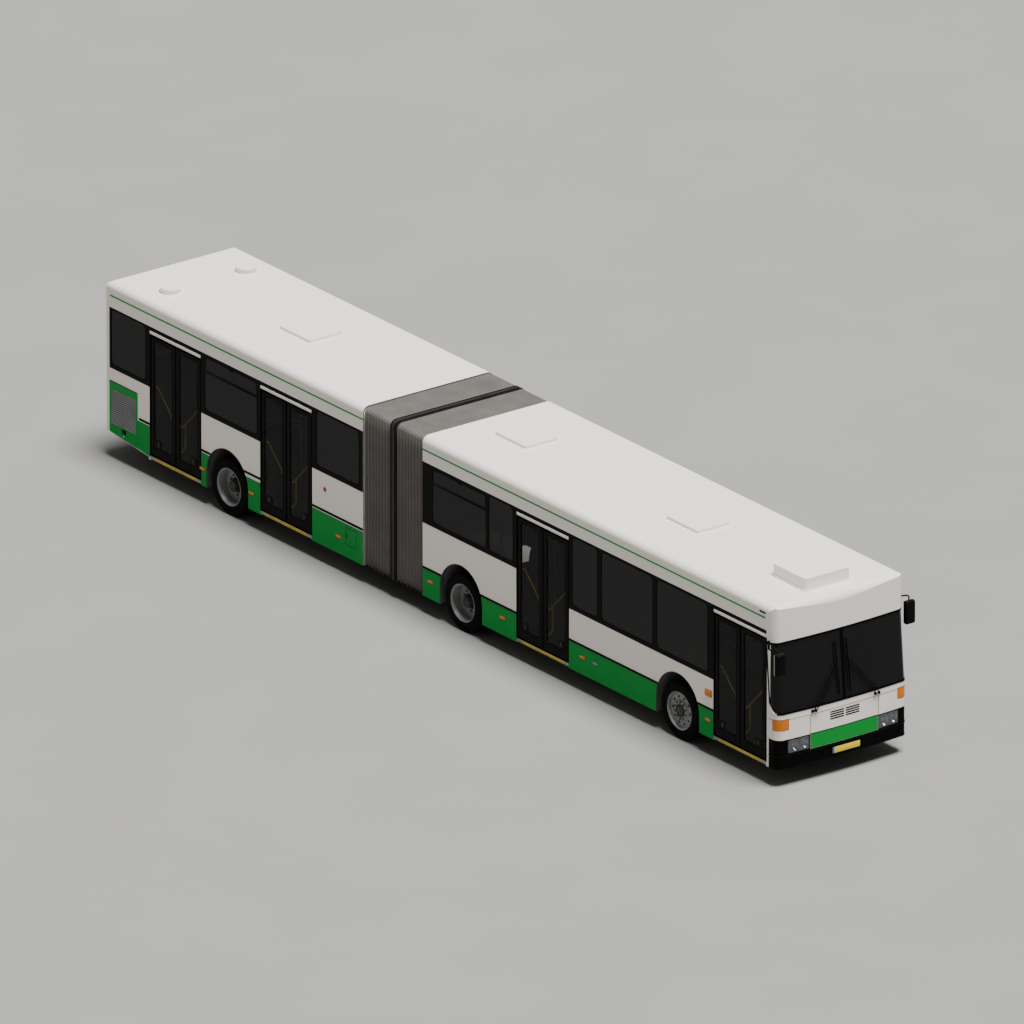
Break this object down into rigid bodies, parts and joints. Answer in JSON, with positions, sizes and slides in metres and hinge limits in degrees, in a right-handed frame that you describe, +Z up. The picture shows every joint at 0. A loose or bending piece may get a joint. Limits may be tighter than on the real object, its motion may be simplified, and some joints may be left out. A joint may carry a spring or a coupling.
{
  "type": "articulated bus",
  "caption": "Low-floor articulated city bus with a folding bellows, three axles, twin rear wheels, inward-gliding double doors on the kerb side and roof hatches.",
  "frame": {"origin": "on the road, under the middle of the bus's overall box with its mirrors", "axes": "+X forward, +Y to the driver's left, +Z up"},
  "size_m": [17.96, 3.19, 3.185],
  "materials": {
    "painted_white": "gloss",
    "chassis_black": "satin",
    "floor_grey": "matt",
    "bumper_black": "satin",
    "tinted_glass": "polished",
    "lamp_clear": "polished",
    "lamp_red": "polished",
    "dash_plastic": "matt",
    "seat_blue": "matt",
    "mirror_black": "satin",
    "bellows_grey": "matt",
    "hoop_grey": "satin",
    "engine_iron": "matt",
    "steel_grey": "matt",
    "tyre": "matt",
    "rim_silver": "satin",
    "door_black": "satin",
    "arm_grey": "satin"
  },
  "bodies": {
    "front_section": {"front_floor": "floor_grey", "front_sides": "painted_white", "front_roof": "painted_white", "nose": "painted_white", "front_bumper": "bumper_black", "front_glass": "tinted_glass", "front_lamps": "lamp_clear", "dashboard": "dash_plastic", "front_seats": "seat_blue", "roof_unit": "painted_white", "mirrors": "mirror_black", "front_axles": "steel_grey", "turntable_base": "steel_grey", "bellows": "bellows_grey"},
    "rear_section": {"rear_floor": "floor_grey", "rear_sides": "painted_white", "rear_roof": "painted_white", "tail": "painted_white", "rear_glass": "tinted_glass", "rear_lamps": "lamp_red", "rear_seats": "seat_blue", "engine": "engine_iron", "rear_axle": "steel_grey", "turntable_top": "steel_grey"},
    "hoop": {"bellows_hoop": "hoop_grey"},
    "hatch_lid_1": {"hatch_1": "painted_white"},
    "hatch_lid_2": {"hatch_2": "painted_white"},
    "hatch_lid_3": {"hatch_3": "painted_white"},
    "engine_lid": {"engine_door": "painted_white"},
    "steer_left": {"knuckle_left": "steel_grey"},
    "steer_right": {"knuckle_right": "steel_grey"},
    "hand_wheel": {"steering_wheel": "dash_plastic"},
    "wheel_front_left": {"tyre_front_left": "tyre", "rim_front_left": "rim_silver"},
    "wheel_front_right": {"tyre_front_right": "tyre", "rim_front_right": "rim_silver"},
    "wheel_middle_left": {"tyre_middle_left": "tyre", "rim_middle_left": "rim_silver"},
    "wheel_middle_right": {"tyre_middle_right": "tyre", "rim_middle_right": "rim_silver"},
    "wheel_rear_left": {"tyre_rear_left": "tyre", "rim_rear_left": "rim_silver"},
    "wheel_rear_right": {"tyre_rear_right": "tyre", "rim_rear_right": "rim_silver"},
    "door_1_arm_front": {"arm_1_front": "arm_grey"},
    "door_1_leaf_front": {"leaf_1_front": "door_black"},
    "door_1_arm_rear": {"arm_1_rear": "arm_grey"},
    "door_1_leaf_rear": {"leaf_1_rear": "door_black"},
    "door_2_arm_front": {"arm_2_front": "arm_grey"},
    "door_2_leaf_front": {"leaf_2_front": "door_black"},
    "door_2_arm_rear": {"arm_2_rear": "arm_grey"},
    "door_2_leaf_rear": {"leaf_2_rear": "door_black"},
    "door_3_arm_front": {"arm_3_front": "arm_grey"},
    "door_3_leaf_front": {"leaf_3_front": "door_black"},
    "door_3_arm_rear": {"arm_3_rear": "arm_grey"},
    "door_3_leaf_rear": {"leaf_3_rear": "door_black"},
    "door_4_arm_front": {"arm_4_front": "arm_grey"},
    "door_4_leaf_front": {"leaf_4_front": "door_black"},
    "door_4_arm_rear": {"arm_4_rear": "arm_grey"},
    "door_4_leaf_rear": {"leaf_4_rear": "door_black"}
  },
  "joints": [
    {"name": "articulation", "type": "hinge", "parent": "front_section", "child": "rear_section", "pos_m": [-1.385, 0, 0.3], "axis": [0, 0, 1], "range_deg": [-45, 45], "deforming": ["bellows"]},
    {"name": "hoop_turn", "type": "hinge", "parent": "front_section", "child": "hoop", "pos_m": [-1.385, 0, 0.3], "axis": [0, 0, 1], "range_deg": [-22.5, 22.5]},
    {"name": "steer_left", "type": "hinge", "parent": "front_section", "child": "steer_left", "pos_m": [6.01, 0.985, 0.4785], "axis": [0, 0, 1], "range_deg": [-45, 45]},
    {"name": "steer_right", "type": "hinge", "parent": "front_section", "child": "steer_right", "pos_m": [6.01, -0.985, 0.4785], "axis": [0, 0, 1], "range_deg": [-45, 45]},
    {"name": "steering_wheel_turn", "type": "hinge", "parent": "front_section", "child": "hand_wheel", "pos_m": [7.92, 0.78, 1.29], "axis": [-0.4226, 0, 0.9063], "range_deg": [-900, 900]},
    {"name": "spin_front_left", "type": "hinge", "parent": "steer_left", "child": "wheel_front_left", "pos_m": [6.01, 1.1075, 0.4785], "axis": [0, 1, 0], "continuous": true},
    {"name": "spin_front_right", "type": "hinge", "parent": "steer_right", "child": "wheel_front_right", "pos_m": [6.01, -1.1075, 0.4785], "axis": [0, 1, 0], "continuous": true},
    {"name": "spin_middle_left", "type": "hinge", "parent": "front_section", "child": "wheel_middle_left", "pos_m": [0.395, 0.9475, 0.4785], "axis": [0, 1, 0], "continuous": true},
    {"name": "spin_middle_right", "type": "hinge", "parent": "front_section", "child": "wheel_middle_right", "pos_m": [0.395, -0.9475, 0.4785], "axis": [0, 1, 0], "continuous": true},
    {"name": "spin_rear_left", "type": "hinge", "parent": "rear_section", "child": "wheel_rear_left", "pos_m": [-5.74, 0.9475, 0.4785], "axis": [0, 1, 0], "continuous": true},
    {"name": "spin_rear_right", "type": "hinge", "parent": "rear_section", "child": "wheel_rear_right", "pos_m": [-5.74, -0.9475, 0.4785], "axis": [0, 1, 0], "continuous": true},
    {"name": "door_1_open", "type": "hinge", "parent": "front_section", "child": "door_1_arm_rear", "pos_m": [6.934, -1.202, 0.4], "axis": [0, 0, 1], "range_deg": [0, 82]},
    {"name": "door_1_arm_front", "type": "hinge", "parent": "front_section", "child": "door_1_arm_front", "pos_m": [8.286, -1.202, 0.4], "axis": [0, 0, 1], "range_deg": [-82, 0]},
    {"name": "door_1_leaf_rear", "type": "hinge", "parent": "door_1_arm_rear", "child": "door_1_leaf_rear", "pos_m": [7.264, -1.202, 0.4], "axis": [0, 0, 1], "range_deg": [-164, 0]},
    {"name": "door_1_leaf_front", "type": "hinge", "parent": "door_1_arm_front", "child": "door_1_leaf_front", "pos_m": [7.956, -1.202, 0.4], "axis": [0, 0, 1], "range_deg": [0, 164]},
    {"name": "door_2_open", "type": "hinge", "parent": "front_section", "child": "door_2_arm_rear", "pos_m": [1.844, -1.202, 0.4], "axis": [0, 0, 1], "range_deg": [0, 82]},
    {"name": "door_2_arm_front", "type": "hinge", "parent": "front_section", "child": "door_2_arm_front", "pos_m": [3.196, -1.202, 0.4], "axis": [0, 0, 1], "range_deg": [-82, 0]},
    {"name": "door_2_leaf_rear", "type": "hinge", "parent": "door_2_arm_rear", "child": "door_2_leaf_rear", "pos_m": [2.174, -1.202, 0.4], "axis": [0, 0, 1], "range_deg": [-164, 0]},
    {"name": "door_2_leaf_front", "type": "hinge", "parent": "door_2_arm_front", "child": "door_2_leaf_front", "pos_m": [2.866, -1.202, 0.4], "axis": [0, 0, 1], "range_deg": [0, 164]},
    {"name": "door_3_open", "type": "hinge", "parent": "rear_section", "child": "door_3_arm_rear", "pos_m": [-4.861, -1.202, 0.4], "axis": [0, 0, 1], "range_deg": [0, 82]},
    {"name": "door_3_arm_front", "type": "hinge", "parent": "rear_section", "child": "door_3_arm_front", "pos_m": [-3.509, -1.202, 0.4], "axis": [0, 0, 1], "range_deg": [-82, 0]},
    {"name": "door_3_leaf_rear", "type": "hinge", "parent": "door_3_arm_rear", "child": "door_3_leaf_rear", "pos_m": [-4.531, -1.202, 0.4], "axis": [0, 0, 1], "range_deg": [-164, 0]},
    {"name": "door_3_leaf_front", "type": "hinge", "parent": "door_3_arm_front", "child": "door_3_leaf_front", "pos_m": [-3.839, -1.202, 0.4], "axis": [0, 0, 1], "range_deg": [0, 164]},
    {"name": "door_4_open", "type": "hinge", "parent": "rear_section", "child": "door_4_arm_rear", "pos_m": [-7.786, -1.202, 0.4], "axis": [0, 0, 1], "range_deg": [0, 82]},
    {"name": "door_4_arm_front", "type": "hinge", "parent": "rear_section", "child": "door_4_arm_front", "pos_m": [-6.434, -1.202, 0.4], "axis": [0, 0, 1], "range_deg": [-82, 0]},
    {"name": "door_4_leaf_rear", "type": "hinge", "parent": "door_4_arm_rear", "child": "door_4_leaf_rear", "pos_m": [-7.456, -1.202, 0.4], "axis": [0, 0, 1], "range_deg": [-164, 0]},
    {"name": "door_4_leaf_front", "type": "hinge", "parent": "door_4_arm_front", "child": "door_4_leaf_front", "pos_m": [-6.764, -1.202, 0.4], "axis": [0, 0, 1], "range_deg": [0, 164]},
    {"name": "hatch_1_tilt", "type": "hinge", "parent": "front_section", "child": "hatch_lid_1", "pos_m": [4.455, 0, 2.9853], "axis": [0, -1, 0], "range_deg": [0, 70]},
    {"name": "hatch_2_tilt", "type": "hinge", "parent": "front_section", "child": "hatch_lid_2", "pos_m": [0.005, 0, 2.9853], "axis": [0, -1, 0], "range_deg": [0, 70]},
    {"name": "hatch_3_tilt", "type": "hinge", "parent": "rear_section", "child": "hatch_lid_3", "pos_m": [-5.65, 0, 2.9853], "axis": [0, -1, 0], "range_deg": [0, 70]},
    {"name": "engine_door_lift", "type": "hinge", "parent": "rear_section", "child": "engine_lid", "pos_m": [-8.98, 0, 1.4397], "axis": [0, 1, 0], "range_deg": [0, 95]}
  ],
  "couplings": [
    {"joint": "hoop_turn", "follows": "articulation", "ratio": 0.5},
    {"joint": "steer_right", "follows": "steer_left", "ratio": 1},
    {"joint": "steering_wheel_turn", "follows": "steer_left", "ratio": 20},
    {"joint": "door_1_arm_front", "follows": "door_1_open", "ratio": -1},
    {"joint": "door_1_leaf_rear", "follows": "door_1_open", "ratio": -2},
    {"joint": "door_1_leaf_front", "follows": "door_1_open", "ratio": 2},
    {"joint": "door_2_arm_front", "follows": "door_2_open", "ratio": -1},
    {"joint": "door_2_leaf_rear", "follows": "door_2_open", "ratio": -2},
    {"joint": "door_2_leaf_front", "follows": "door_2_open", "ratio": 2},
    {"joint": "door_3_arm_front", "follows": "door_3_open", "ratio": -1},
    {"joint": "door_3_leaf_rear", "follows": "door_3_open", "ratio": -2},
    {"joint": "door_3_leaf_front", "follows": "door_3_open", "ratio": 2},
    {"joint": "door_4_arm_front", "follows": "door_4_open", "ratio": -1},
    {"joint": "door_4_leaf_rear", "follows": "door_4_open", "ratio": -2},
    {"joint": "door_4_leaf_front", "follows": "door_4_open", "ratio": 2}
  ]
}
